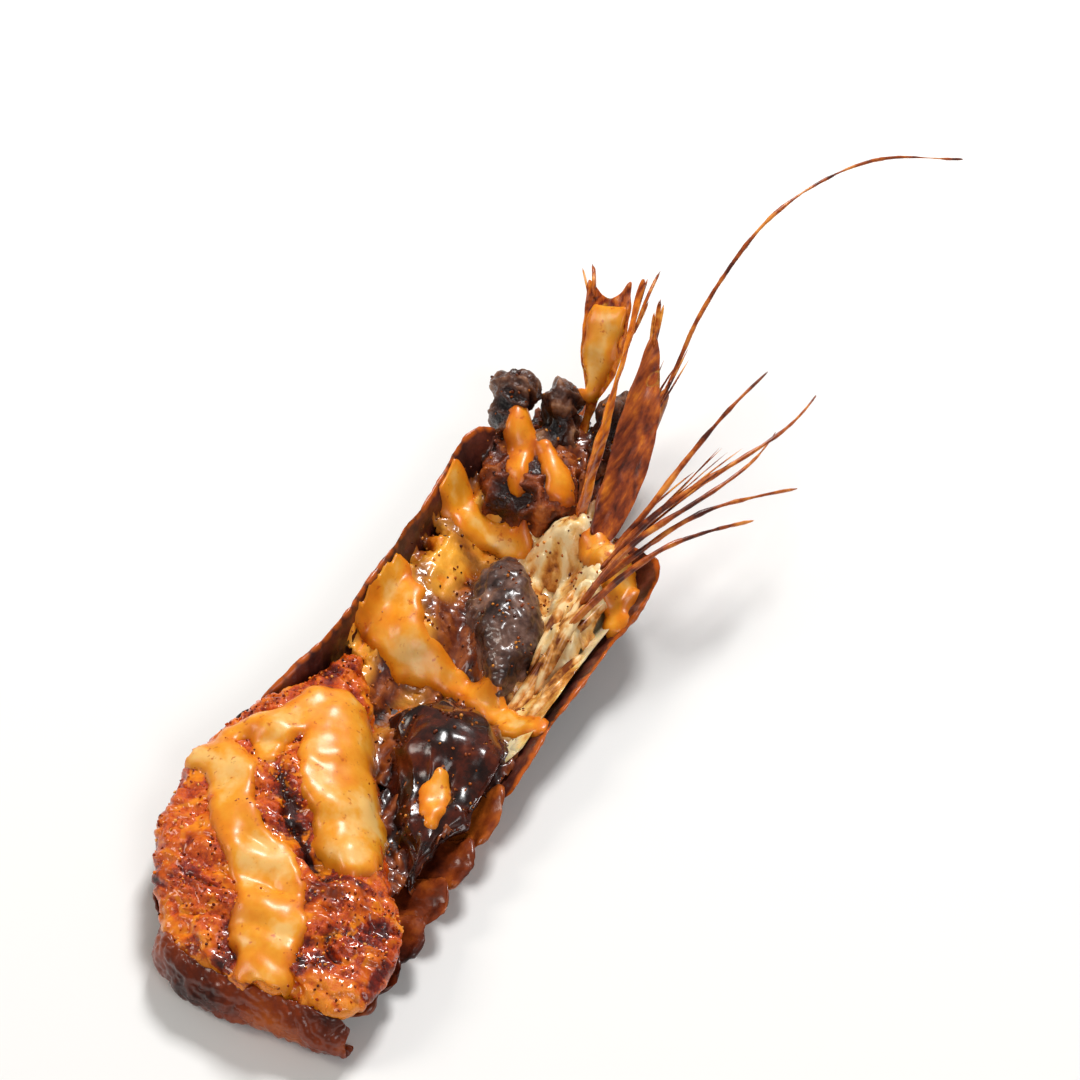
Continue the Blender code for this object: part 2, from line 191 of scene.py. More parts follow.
def finished(bm, name, slot, look, *nodes):
    """Makes a bmesh a smooth object that rides on the prawn, standing for the given CAD nodes."""
    mesh = bpy.data.meshes.new(name)
    bm.to_mesh(mesh)
    bm.free()
    mesh.shade_smooth()
    mesh.materials.append(look)
    piece = bpy.data.objects.new(name, mesh)
    scene.collection.objects.link(piece)
    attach(piece, "root")
    if nodes:
        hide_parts(*nodes)
    print(f"{name}: {len(mesh.polygons)} faces of {look.name}")
    return piece


# %% [markdown]
# Materials are small graphs. One helper adds a node with its settings and links. A colour is written as in any
# paint box, as sRGB hex, and turned to linear light. A pattern's scale is one over the size of its features.
# Oil and juice lie on every piece, so one more helper gives them all the same kind of wet surface, each with
# its own roughness and its own clear coat.


# %% Helpers for materials
def linear(colour):
    channels = [int(colour[i:i + 2], 16) / 255 for i in (0, 2, 4)]
    return tuple(c / 12.92 if c <= 0.04045 else ((c + 0.055) / 1.055) ** 2.4 for c in channels) + (1.0,)


def per(size):
    """The scale of a pattern whose features are size mm across."""
    return 1 / (size * MM)


def feed(socket, value):
    """Sets a socket to a value, or links it to an output, or to the first output in use of a node."""
    if isinstance(value, bpy.types.Node):
        value = next(output for output in value.outputs if output.enabled)
    if isinstance(value, bpy.types.NodeSocket):
        socket.id_data.links.new(value, socket)
    else:
        socket.default_value = value


def add(tree, kind, inputs=(), stops=(), **settings):
    """Adds a node. Its inputs are fed by socket, and stops are a ramp's (position, colour)."""
    made = tree.nodes.new(f"ShaderNode{kind}")
    for name, value in settings.items():
        setattr(made, name, value)
    for socket, value in dict(inputs).items():
        feed(made.inputs[socket], value)
    for i, (position, colour) in enumerate(stops):
        element = made.color_ramp.elements[i] if i < 2 else made.color_ramp.elements.new(position)
        element.position = position
        element.color = linear(colour)
    return made


def new_look(name):
    look = bpy.data.materials.new(name)
    look.use_nodes = True
    tree = look.node_tree
    where = add(tree, "TexCoord").outputs["Object"]
    return look, tree, tree.nodes["Principled BSDF"], where


A, B = 6, 7  # the colour inputs of a Mix node
JUICE_IOR = 1.36  # water with salt, fat and spice in it
GLOW_COLOURS = (1.0, 0.4, 0.15)  # red light wanders farthest in flesh and fat
GLOW_REACH = 1.2


def wet(shader, colour, bump, roughness, coat=0.0, coat_roughness=0.1, glow=0.0):
    """Gives an oiled surface its colour, its fine bump, its gloss, and how far light wanders under it.

    The bump is the node with its height, its strength, and its depth in mm.
    """
    skin = {"Base Color": colour, "Roughness": roughness, "IOR": JUICE_IOR,
            "Coat Weight": coat, "Coat Roughness": coat_roughness,
            "Subsurface Weight": glow, "Subsurface Radius": GLOW_COLOURS, "Subsurface Scale": GLOW_REACH * MM}
    if bump:
        height, strength, depth = bump
        skin["Normal"] = add(shader.id_data, "Bump",
                             {"Height": height, "Strength": strength, "Distance": depth * MM})
    for socket, value in skin.items():
        feed(shader.inputs[socket], value)


print("mid grey is", round(linear("808080")[0], 3), "in linear light")

# %% [markdown]
# ## Tail flesh
#
# Prawn flesh fried in a paste of chilli, paprika and oil: orange-red, lighter on its crests as painted light and
# dark brown in its clefts as painted shade, and burnt in patches about 9 mm wide. The paste's own grain is 0.9
# mm.
# Oil pools between the grains, 6 mm wide and smoother, and its thin sharp coat over the rough grain breaks each
# light into many small sparkles.


# %% Material: chilli-fried prawn flesh
def fried_flesh():
    look, tree, shader, where = new_look("fried_prawn_flesh")
    relief = add(tree, "Attribute", attribute_name="relief").outputs["Fac"]
    patches = add(tree, "TexNoise", {"Vector": where, "Scale": per(9), "Detail": 6, "Roughness": 0.62})
    pools = add(tree, "TexNoise", {"Vector": where, "Scale": per(6), "Detail": 4, "Distortion": 1.2})
    grain = add(tree, "TexNoise", {"Vector": where, "Scale": per(0.9), "Detail": 5, "Roughness": 0.75})
    level = add(tree, "Math", {0: grain, 1: 0.7, 2: -0.2}, operation="MULTIPLY_ADD")
    # The relief lifts the colour on crests and drops it in clefts: painted light and painted shade.
    level = add(tree, "Math", {0: relief, 1: 0.5, 2: level}, operation="MULTIPLY_ADD")
    paste = add(tree, "ValToRGB", {"Fac": level},
                stops=((0.12, "3E0C02"), (0.24, "882202"), (0.36, "BE3E02"), (0.5, "DE5E04"), (0.7, "F28C1A")))
    burnt = add(tree, "ValToRGB", {"Fac": patches},
                stops=((0.34, "3E1A10"), (0.42, "A0603C"), (0.48, "FFFFFF")))
    crust = add(tree, "Mix", {0: 1.0, A: paste, B: burnt}, data_type="RGBA", blend_type="MULTIPLY")
    glazed = add(tree, "MapRange", {"Value": pools, "From Min": 0.51, "From Max": 0.58})
    glaze = add(tree, "ValToRGB", {"Fac": patches},
                stops=((0.36, "7C2A02"), (0.46, "CC5604"), (0.56, "EE880E")))
    colour = add(tree, "Mix", {0: glazed, A: crust, B: glaze}, data_type="RGBA")
    rough = add(tree, "MapRange", {"Value": glazed, "To Min": 0.75, "To Max": 0.15})
    wet(shader, colour, (grain, rough, 0.35), roughness=0.34, coat=0.6, coat_roughness=0.06, glow=0.06)
    return look


flesh_look = fried_flesh()

# %% [markdown]
# The CAD solid has the flesh's outline, its groove and its creases. The copy gets one long gap where the two
# muscles came apart, wandering clefts, the soft swell of each bundle, and a crust of clumps. The relief fades
# on the sides, where the shell held the flesh, and the blunt end bulges over the fan.

# %% Piece: tail flesh
GAP = ((34, 8), (18, -9))
GAP_WIDTH, GAP_DEPTH = 2.0, 2.4
FLESH_VOXEL = 0.42


def beside(station, left, start, end):
    """How far a place lies from the line between two places, in mm."""
    run, spot = Vector(end) - Vector(start), Vector((station, left)) - Vector(start)
    return (spot - run * min(max(spot.dot(run) / run.length_squared, 0.0), 1.0)).length


def flesh_height(point, normal):
    upward = soft_step(-0.4, 0.3, normal.z)
    across = Vector((point.x * 1.6, point.y * 0.7, point.z))
    away = beside(station_of(point), left_of(point), *GAP) + 0.8 * lumps(point, 4, 26)
    swell = 0.9 * lumps(point, 9, 1) - GAP_DEPTH * math.exp(-((away / GAP_WIDTH) ** 2))
    cleft = 1.3 * soft_step(0.12, 0, abs(lumps(across, 13, 2))) * soft_step(-0.2, 0.3, lumps(point, 14, 5))
    crust = 0.75 * clumps(across, 3.4, 3) + 0.25 * clumps(point, 1.3, 4)
    overhang = 1.8 * soft_step(0.2, 0.9, -normal.x) * soft_step(6, 0, station_of(point))
    return swell * upward + overhang + (crust - 0.4) * (0.3 + 0.7 * upward) - cleft * upward


flesh = finished(raised(even(copied("tail_meat"), FLESH_VOXEL), flesh_height, -1.5, 1.3),
                 "tail_flesh", "grilled_meat", flesh_look, "tail_meat")

# %% [markdown]
# Grains of the spice paste stand on the flesh. Each is a small rough ball with twenty faces, squashed and
# turned at random, and all of them are one mesh, because thousands of objects would be slow. Each is dropped
# from above and stays only where the surface isn't steep, more of them in some places than in others.

# %% Helper: things dropped onto pieces
DROP_HEIGHT = 80


def tree_of(*sources):
    """A tree for dropping things onto the given pieces and CAD nodes."""
    together = bmesh.new()
    for source in sources:
        together.from_mesh(source.data)
    tree = BVHTree.FromBMesh(together)
    together.free()
    return tree


def landed(tree, station, left):
    """Where a thing dropped at a place comes to rest, and the surface's normal there."""
    return tree.ray_cast(place(station, left, DROP_HEIGHT), Vector((0, 0, -1)))[:2]


print("the flesh is", round(landed(tree_of(flesh), 30, 0)[0].z / MM, 1), "mm high in its middle")

# %% [markdown]
# Fried spice is glossy with oil, and each grain took its own colour from the heat, from nearly black to amber.
# A number kept on the points of each grain picks that colour, so one material serves them all.


# %% Material: spice grains
def spice_grains(name, stops):
    look, tree, shader, _ = new_look(name)
    tint = add(tree, "Attribute", attribute_name="tint").outputs["Fac"]
    colour = add(tree, "ValToRGB", {"Fac": tint}, stops=stops)
    wet(shader, colour, None, roughness=0.22)
    return look


# %% Piece: spice grains
GRAIN_SIZES = (0.16, 0.42)
STEEPEST = 0.15  # the upward part of the normal below which a grain rolls off


def spice(on, count, stations, lefts, seed):
    """Drops count grains between the given stations and lefts."""
    pick = random.Random(seed)
    bm = bmesh.new()
    tint = bm.verts.layers.float.new("tint")
    for _ in range(count):
        point, normal = landed(on, pick.uniform(*stations), pick.uniform(*lefts))
        size, turn = pick.uniform(*GRAIN_SIZES) * MM, Euler([pick.uniform(0, math.tau) for _ in range(3)])
        shape = Matrix.Diagonal((size, size * pick.uniform(0.6, 1.0), size * pick.uniform(0.4, 0.9), 1))
        shade = pick.random()
        if point is None or normal.z < STEEPEST or lumps(point, 6, 30) < pick.uniform(-0.5, 0.2):
            continue
        matrix = Matrix.Translation(point + normal * size * 0.3) @ turn.to_matrix().to_4x4() @ shape
        for vertex in bmesh.ops.create_icosphere(bm, subdivisions=1, radius=1, matrix=matrix)["verts"]:
            vertex[tint] = shade
    return bm


grain_look = spice_grains("fried_spice_grains", (
    (0.0, "3A1008"), (0.35, "9C320A"), (0.65, "D65C0E"), (0.9, "EE8C2A"), (1.0, "F8B45A")))
grains = spice(tree_of(flesh), count=3600, stations=(-8, 68), lefts=(-32, 28), seed=31)
finished(grains, "spice_grains", "grilled_meat", grain_look)

# %% [markdown]
# ## Shell
#
# Prawn shell is thin chitin. Heat turns it orange-red, oil leaves it glossy, and the grill chars it brown in
# bands about 12 mm wide. Its pits, about a millimetre apart, keep its shine from looking like plastic. The
# folded fan lay on the bars, so it is redder and darker.


# %% Material: roasted tail shell
def roasted_shell(name, stops):
    look, tree, shader, where = new_look(name)
    bands = add(tree, "TexNoise", {"Vector": where, "Scale": per(12), "Detail": 6, "Roughness": 0.6})
    pits = add(tree, "TexVoronoi", {"Vector": where, "Scale": per(1.1)})
    colour = add(tree, "ValToRGB", {"Fac": bands}, stops=stops)
    wet(shader, colour, (pits, 0.25, 0.2), roughness=0.32, coat=0.3, coat_roughness=0.12)
    return look


ring_look = roasted_shell("roasted_tail_shell", (
    (0.36, "1E0A06"), (0.46, "4A1A0C"), (0.55, "7A3212"), (0.66, "B0581A")))
fan_look = roasted_shell("burnt_folded_fan", (
    (0.34, "340E04"), (0.46, "6A2406"), (0.56, "863208"), (0.68, "AC500C")))

# %% [markdown]
# Six rings overlap under the tail, and the fan is folded round its blunt end. Each is a curved strip under a
# millimetre thick. Subdivision rounds its facets without closing it up, and the heat's buckling is added as
# relief.


# %% Pieces: tail rings and fan
def ring_height(point, normal):
    return 0.8 * lumps(point, 6, 5) + 0.45 * clumps(point, 2.6, 6) + 0.15 * clumps(point, 1.1, 10) - 0.3


for number in range(1, 7):
    ring = raised(finer(copied(f"tail_ring_{number}"), 2), ring_height, -0.4, 0.4)
    finished(ring, f"shell_ring_{number}", "tail_shell", ring_look, f"tail_ring_{number}")
fan = raised(finer(copied("tail_fan"), 3), ring_height, -0.4, 0.4)
finished(fan, "folded_fan", "tail_shell", fan_look, "tail_fan")

# %% [markdown]
# The head's shell browns to purple where the dark liver lies under it, in clouds about 9 mm wide, and dries to
# orange along its torn rim. The rim isn't a place in the pattern's space, so the mesh carries it as an attribute.


# %% Material: browned head shell
def browned_carapace():
    look, tree, shader, where = new_look("browned_carapace")
    rim = add(tree, "Attribute", attribute_name="rim").outputs["Fac"]
    cloud = add(tree, "TexNoise", {"Vector": where, "Scale": per(9), "Detail": 6, "Roughness": 0.66})
    pits = add(tree, "TexVoronoi", {"Vector": where, "Scale": per(0.9)})
    brown = add(tree, "ValToRGB", {"Fac": cloud},
                stops=((0.34, "1C0B09"), (0.46, "3E1B16"), (0.58, "643024"), (0.74, "85502F")))
    edge = add(tree, "Math", {0: rim, 1: cloud}, operation="MULTIPLY")
    edge = add(tree, "MapRange", {"Value": edge, "From Min": 0.2, "From Max": 0.42})
    colour = add(tree, "Mix", {0: edge, A: brown, B: linear("B9560F")}, data_type="RGBA")
    wet(shader, colour, (pits, 0.25, 0.2), roughness=0.36, coat=0.3, coat_roughness=0.2)
    return look


carapace_look = browned_carapace()

# %% [markdown]
# The head shell cracked into two halves along the belly cut. A half's rim is found as its highest point at each
# station, and every point's nearness to it is kept on the mesh for the material. The spike is the same shell.

# %% Pieces: the two halves of the head shell
RIM_REACH = 2.2
RIM_STEP = 1.5


def rim_points(bm):
    """The highest point at each station."""
    highest = {}
    for vertex in bm.verts:
        slot = round(station_of(vertex.co) / RIM_STEP)
        if slot not in highest or vertex.co.z > highest[slot].z:
            highest[slot] = vertex.co.copy()
    return [highest[slot] for slot in sorted(highest)]


def mark_rim(bm):
    """Stores how near each point is to the upper rim: 1 on it, 0 beyond RIM_REACH mm."""
    points = rim_points(bm)
    tree = kdtree.KDTree(len(points))
    for i, point in enumerate(points):
        tree.insert(point, i)
    tree.balance()
    rim = bm.verts.layers.float.new("rim")
    for vertex in bm.verts:
        vertex[rim] = soft_step(RIM_REACH, 0, tree.find(vertex.co)[2] / MM)
    return bm


def carapace_height(point, normal):
    return 0.6 * lumps(point, 9, 7) + 0.35 * clumps(point, 3.2, 8) - 0.15


head_shell = []
for side in ("left", "right"):
    half = mark_rim(raised(finer(copied(f"carapace_{side}"), 2), carapace_height, -0.5, 0.5))
    head_shell.append(finished(half, f"head_shell_{side}", "carapace", carapace_look, f"carapace_{side}"))
spike = raised(finer(copied("rostrum"), 2), carapace_height, -0.5, 0.5)
finished(mark_rim(spike), "head_shell_spike", "carapace", carapace_look, "rostrum")

# %% [markdown]
# Inside the right half a pale skin still clings to the shell. It is smooth and wet, cream with brown stains
# 9 mm wide and fine dark specks, and so thin that light glows a little way through it.


# %% Material: pale inner shell
def inner_shell():
    look, tree, shader, where = new_look("inner_shell_membrane")
    cloud = add(tree, "TexNoise", {"Vector": where, "Scale": per(9), "Detail": 5, "Roughness": 0.55})
    specks = add(tree, "TexNoise", {"Vector": where, "Scale": per(0.8), "Detail": 3, "Roughness": 0.6})
    cream = add(tree, "ValToRGB", {"Fac": cloud},
                stops=((0.32, "8A4A20"), (0.4, "DD9440"), (0.47, "F8CC7C"), (0.58, "FCE4B2")))
    dots = add(tree, "ValToRGB", {"Fac": specks}, stops=((0.34, "A9713A"), (0.4, "FFFFFF")))
    colour = add(tree, "Mix", {0: 0.4, A: cream, B: dots}, data_type="RGBA", blend_type="MULTIPLY")
    wet(shader, colour, (cloud, 0.4, 0.5), roughness=0.25, coat=0.4, coat_roughness=0.1, glow=0.2)
    return look


# %% Piece: inner skin
def lining_height(point, normal):
    return 0.55 * lumps(point, 7, 9) + 0.25 * lumps(point, 2.4, 10)


inner_skin = finished(raised(finer(copied("shell_lining"), 3), lining_height, -0.5, 0.5),
                      "inner_skin", "shell_lining", inner_shell(), "shell_lining")

# %% [markdown]
# ## Head contents
#
# The opened head holds two lobes of cooked liver, glossy as tar, nearly black, with brown where fat came
# through. A low roughness under half a coat gives them broad, soft highlights.


# %% Material: dark cooked liver
def dark_liver(name, stops, roughness):
    look, tree, shader, where = new_look(name)
    cloud = add(tree, "TexNoise", {"Vector": where, "Scale": per(6), "Detail": 6, "Roughness": 0.65})
    grain = add(tree, "TexNoise", {"Vector": where, "Scale": per(1.4), "Detail": 3, "Roughness": 0.6})
    colour = add(tree, "ValToRGB", {"Fac": cloud}, stops=stops)
    wet(shader, colour, (grain, 0.3, 0.3), roughness, coat=0.5, coat_roughness=0.18)
    return look


# %% [markdown]
# The rear lobe swells to one smooth knob with folds running away from it, and the front lobe is wrinkled like a
# prune. Both are lumps thicker than the relief is deep, so they are remeshed and raised.

# %% Pieces: the two livers
LIVER_KNOB = (57, -14, 9)  # its station, its left and its radius
LIVER_VOXEL = 0.45


def smooth_liver(point, normal):
    away = math.dist((station_of(point), left_of(point)), LIVER_KNOB[:2]) / LIVER_KNOB[2]
    knob = 2.6 * math.exp(-away**2) - 1.0
    folds = 1.4 * clumps(Vector((point.x * 0.6, point.y, 0)), 6, 29) * soft_step(0.3, 1.2, away)
    return knob * soft_step(0, 0.5, normal.z) + 1.5 * lumps(point, 8, 12) + 0.25 * lumps(point, 2.4, 13) - folds


def wrinkled_liver(point, normal):
    return 0.7 * lumps(point, 6, 12) + 0.45 * clumps(point, 2.6, 13) + 0.2 * clumps(point, 1.2, 27) - 0.3


livers = {
    "rear": (smooth_liver, dark_liver("dark_smooth_liver", (
        (0.36, "120604"), (0.48, "2C0F07"), (0.58, "4E1B0C"), (0.72, "7A3314")), 0.26)),
    "front": (wrinkled_liver, dark_liver("dark_wrinkled_liver", (
        (0.36, "241612"), (0.48, "50372F"), (0.58, "785A4E"), (0.72, "9C7058")), 0.3)),
}
liver_pieces = []
for part, (height, look) in livers.items():
    liver = raised(even(copied(f"dark_liver_{part}"), LIVER_VOXEL), height, -1, 1)
    liver_pieces.append(finished(liver, f"liver_{part}", "dark_liver", look, f"dark_liver_{part}"))


# %% [markdown]
# The front of the head caught in the flame. Its char is black, darkest in its pits as painted shade and
# grey-brown to beige on its crests as painted light, and its grain of 0.6 mm is coarse enough to catch light, but
# juice ran over it, so it still shines in places.


# %% Material: charred head
def charred(name, stops):
    look, tree, shader, where = new_look(name)
    relief = add(tree, "Attribute", attribute_name="relief").outputs["Fac"]
    cloud = add(tree, "TexNoise", {"Vector": where, "Scale": per(4), "Detail": 6, "Roughness": 0.7})
    # The relief darkens the pits as painted shade and lightens the crests as painted light.
    level = add(tree, "Math", {0: relief, 1: cloud}, operation="MULTIPLY")
    colour = add(tree, "ValToRGB", {"Fac": level}, stops=stops)
    grain = add(tree, "TexNoise", {"Vector": where, "Scale": per(0.6), "Detail": 4, "Roughness": 0.7})
    wet(shader, colour, (grain, 0.8, 0.3), roughness=0.27, coat=0.2, coat_roughness=0.15)
    return look


face_look = charred("scorched_head_flesh", (
    (0.12, "240A05"), (0.24, "56200C"), (0.36, "8A3E16"), (0.5, "B8662A")))
charred_look = charred("charred_eyes_and_mouth", (
    (0.1, "0E0504"), (0.2, "2C120B"), (0.3, "56301E"), (0.42, "86583A"), (0.56, "B08A66")))

# %% [markdown]
# The face, the eyes and the mouthparts are crumpled lumps. Their CAD solids only touch, so the side of each that
# faces its neighbour is drawn out first: the eyes run back into the face on stalks, and the chin runs forward.
# Remeshing after that turns the stretched sides into one smooth skin.


# %% Pieces: face, eyes and mouthparts
def charred_height(point, normal):
    crumpled = Vector((point.x * 1.3, point.y, point.z * 0.6))
    return 1.5 * lumps(crumpled, 5, 17) + 1.1 * ridges(crumpled, 4, 18) + 0.3 * clumps(point, 1.3, 19) - 0.7


CHIN = ((1, 0, 0), (2.6, 0, 0))  # the way a side faces, and how far it moves
STALK = ((-1, 0, -0.3), (-4.5, -1.0, -3.0))
FACING = 0.4
CHAR_VOXEL = 0.34


def drawn_out(bm, way, move):
    """The solid with the side that faces one way moved by move mm."""
    bm.normal_update()
    facing = [vertex for vertex in bm.verts if vertex.normal.dot(Vector(way).normalized()) > FACING]
    bmesh.ops.translate(bm, verts=facing, vec=Vector(move) * MM)
    return bm


char_pieces = []
for node in ("face", "eye_left", "eye_right", "mouthparts"):
    solid = drawn_out(copied(node), *(CHIN if node == "face" else STALK))
    lump = raised(even(solid, CHAR_VOXEL), charred_height, -1.4, 1.4)
    look = face_look if node == "face" else charred_look
    char_pieces.append(finished(lump, f"charred_{node}", "charred_head", look, node))


# %% [markdown]
# Cooked flesh and juice fill the head between those lobes. No solid could be modelled to fit every gap, so a
# fine grid is lowered onto whatever is there. Averaging each point's height with its neighbours', over and
# over, makes the grid sag gently across the gaps, while the lobes still stand out of it. The same helpers pour
# the sauce later.

# %% Helpers: a spread sheet that settles
PAST_OUTLINE = 0.9
WELL_INSIDE = 1


def grid_over(area, step):
    """A flat grid with step mm between its points, whose coordinates are its stations and lefts in mm."""
    (s0, l0), (s1, l1) = area
    bm = bmesh.new()
    bmesh.ops.create_grid(bm, x_segments=round((s1 - s0) / step), y_segments=round((l1 - l0) / step), size=0.5)
    bmesh.ops.translate(bm, verts=bm.verts, vec=(0.5, 0.5, 0))
    bmesh.ops.scale(bm, verts=bm.verts, vec=(s1 - s0, l1 - l0, 1))
    bmesh.ops.translate(bm, verts=bm.verts, vec=(s0, l0, 0))
    return bm


def spread(area, step, reach, below, bottoms=None):
    """A grid lowered onto the tree below where reach is positive. Each point keeps its reach as inside.

    Well inside, it crosses a gap at the height that bottoms gives for its station. Elsewhere it is cut away.
    """
    bm = grid_over(area, step)
    spots = np.array([vertex.co[:2] for vertex in bm.verts])
    inside = bm.verts.layers.float.new("inside")
    missed = []
    for vertex, depth in zip(bm.verts, reach(spots[:, 0], spots[:, 1])):
        station, left, _ = vertex.co
        vertex[inside] = depth + ragged(station, left)
        point = landed(below, station, left)[0]
        gap = point is None and (bottoms is None or vertex[inside] < WELL_INSIDE)
        if gap or vertex[inside] < -PAST_OUTLINE:
            missed.append(vertex)
        else:
            vertex.co.z = np.interp(station, *zip(*bottoms)) if point is None else point.z / MM
    bmesh.ops.delete(bm, geom=missed, context="VERTS")
    bmesh.ops.delete(bm, geom=[vertex for vertex in bm.verts if not vertex.link_faces], context="VERTS")
    bm.verts.index_update()
    return bm


def ragged(station, left):
    """How far a spread thing ran past its outline, in mm."""
    spot = Vector((station, left, 0))
    return 1.3 * noise.noise(spot / 6) + 0.8 * noise.noise(spot / 2.2 + Vector((0, 0, 3)))


def thickened(bm, depth):
    """The sheet with a copy of itself depth mm below it, joined to it all round."""
    copy = bmesh.ops.extrude_face_region(bm, geom=bm.faces[:], use_keep_orig=True)["geom"]
    lower = [item for item in copy if isinstance(item, bmesh.types.BMVert)]
    bmesh.ops.translate(bm, verts=lower, vec=(0, 0, -depth * MM))
    bmesh.ops.recalc_face_normals(bm, faces=bm.faces)
    return bm


def settled(bm, heights, rounds):
    """The heights after each point was averaged with its neighbours, rounds times over."""
    pairs = np.array([[vertex.index for vertex in edge.verts] for edge in bm.edges])
    count = 1.0 + np.bincount(pairs.ravel(), minlength=len(heights))
    for _ in range(rounds):
        from_first = np.bincount(pairs[:, 1], weights=heights[pairs[:, 0]], minlength=len(heights))
        from_second = np.bincount(pairs[:, 0], weights=heights[pairs[:, 1]], minlength=len(heights))
        heights = (heights + from_first + from_second) / count
    return heights


print("a thing spread here runs past its outline by", round(ragged(70, 0), 2), "mm")

# %% [markdown]
# The filling is brown flesh, orange roe on the left and pale gill tissue on the right. Three numbers on each
# point say how high it stands in its folds, how warm it is and how pale, and the material mixes three ramps by
# them. Hollows are darkest and crests lightest, as painted shade and painted light.


# %% Material: brown head flesh
def head_flesh():
    look, tree, shader, where = new_look("brown_head_flesh")
    relief = add(tree, "Attribute", attribute_name="relief").outputs["Fac"]
    warm = add(tree, "Attribute", attribute_name="warm").outputs["Fac"]
    pale = add(tree, "Attribute", attribute_name="pale").outputs["Fac"]
    cloud = add(tree, "TexNoise", {"Vector": where, "Scale": per(3), "Detail": 6, "Roughness": 0.7})
    level = add(tree, "Math", {0: cloud, 1: 0.6, 2: -0.1}, operation="MULTIPLY_ADD")
    # The relief darkens the hollows as painted shade and lightens the crests as painted light.
    level = add(tree, "Math", {0: relief, 1: 0.5, 2: level}, operation="MULTIPLY_ADD")
    brown = add(tree, "ValToRGB", {"Fac": level},
                stops=((0.2, "140604"), (0.38, "3A1409"), (0.52, "6B2C12"), (0.7, "A3541E")))
    orange = add(tree, "ValToRGB", {"Fac": level},
                 stops=((0.14, "742604"), (0.25, "CC5A04"), (0.36, "F2880E"), (0.55, "FEB038")))
    cream = add(tree, "ValToRGB", {"Fac": level},
                stops=((0.2, "74350F"), (0.32, "CC8236"), (0.43, "F2BE6C"), (0.58, "FCE2AC")))
    colour = add(tree, "Mix", {0: warm, A: brown, B: orange}, data_type="RGBA")
    colour = add(tree, "Mix", {0: pale, A: colour, B: cream}, data_type="RGBA")
    grain = add(tree, "TexNoise", {"Vector": where, "Scale": per(1.0), "Detail": 4, "Roughness": 0.7})
    wet(shader, colour, (grain, 0.5, 0.3), roughness=0.34, coat=0.6, coat_roughness=0.06)
    return look


# %% [markdown]
# The filling's outline is given as lefts at some stations, its left side kept inside the shell's own rim. It must
# not poke out through the thin shell, so it never sinks below a cover over the shell's inner face. The legs and
# the blades grow out of it: it rises round each root, like the socket that holds a real limb.

# %% Outline of the head flesh
FILLING_AREA = ((20, -34), (140, 20))
FILLING_STEP = 0.5
FILLING_ENDS = (22, 133)
FILLING_BOTTOMS = ((22, 3), (108, 3), (122, 10), (130, 13), (138, 13))
FILLING_LEFT = ((22, -18.5), (25, -16.5), (35, -10), (47, -3), (55, 1), (62, 5), (66, 9), (70, 16), (116, 14),
                (126, 8.5), (138, 6))
FILLING_RIGHT = ((22, -20), (30, -21.5), (40, -23.5), (50, -25), (60, -26), (74, -26.5), (84, -27), (94, -28),
                 (102, -30), (108, -25), (114, -20), (120, -17), (138, -14))
FILLING_TOPS = ((36, 14.5), (100, 15.0), (112, 16.5), (120, 17.0), (132, 15.0))
WALL_MARGIN = 0.8
PALE_SIDE = ((62, -22), (70, -19.5), (80, -17.5), (92, -15), (100, -9), (106, -6), (112, -8), (118, -12))


def along(line, stations):
    """The value at some stations of a line given as (station, value) points."""
    return np.interp(stations, *zip(*line))


def within_filling(stations, lefts):
    """How far each point lies inside the filling's outline, in mm."""
    rim = [(station_of(point), left_of(point)) for point in rim_points(copied("carapace_left"))]
    left = np.minimum(along(FILLING_LEFT, stations), along(rim, stations) - WALL_MARGIN)
    right = along(FILLING_RIGHT, stations)
    ends = np.minimum(stations - FILLING_ENDS[0], FILLING_ENDS[1] - stations)
    return np.minimum(np.minimum(left - lefts, lefts - right), ends)


print("the filling is", round(float(within_filling(90, -5)), 1), "mm deep inside its outline at station 90")

# %% Sockets of the limbs
LEGS = tuple(f"leg_{number}" for number in range(1, 6))
LIMBS = (*LEGS, "antennal_scale_right", "head_spine", "antenna_base")
ROOT_LENGTH = 1.5
SOCKET_RADIUS, SOCKET_SLOPE, SOCKET_SINK = 1.6, 1.5, 1.0


def root_of(node):
    """The middle of a limb's rear end, where it grows out of the head: its station, left and height in mm."""
    points = [vertex.co for vertex in copied(node).verts]
    rear = min(point.x for point in points)
    ends = [point for point in points if point.x < rear + ROOT_LENGTH * MM]
    middle = sum(ends, Vector()) / len(ends)
    return station_of(middle), left_of(middle), middle.z / MM


def socket_height(roots, station, left):
    """How high the flesh rises at a place to hold the limbs, in mm."""
    away = [math.dist((station, left), root[:2]) - SOCKET_RADIUS for root in roots]
    return max(root[2] - SOCKET_SLOPE * max(gap, 0) for root, gap in zip(roots, away)) - SOCKET_SINK


print("the first leg grows at", [round(value, 1) for value in root_of("leg_1")])

# %% Piece: head flesh
FILLING_SINK, RIM_SINK = 1.8, 1.6
FILLING_DEPTH = 0.5
FILLING_ROUNDS = 90
FOLDS_TOP = 2.0
SHELL_COVER = 0.3


def folds_at(spot):
    """The height of the filling's folds, in mm, longest along the body."""
    fibres = Vector((spot.x * 0.45, spot.y, 0))
    return 1.3 * ridges(fibres, 5, 14) + 0.6 * clumps(spot, 2.1, 15) + 0.3 * ridges(fibres, 1.2, 16)


def warmth_at(spot, station, left):
    """How orange the filling is: on the left, behind the face, and in patches."""
    side = soft_step(-7, 3, left + 4 * lumps(spot, 8, 18)) * soft_step(118, 108, station)
    return side * soft_step(-0.35, 0.25, lumps(spot, 7, 19))


def paleness_at(spot, station, left):
    """How pale the filling is: to the right of PALE_SIDE."""
    beyond = along(PALE_SIDE, station) - left + 2.5 * lumps(spot, 5, 28)
    return soft_step(-1, 1, beyond) * soft_step(60, 68, station) * soft_step(119, 112, station)


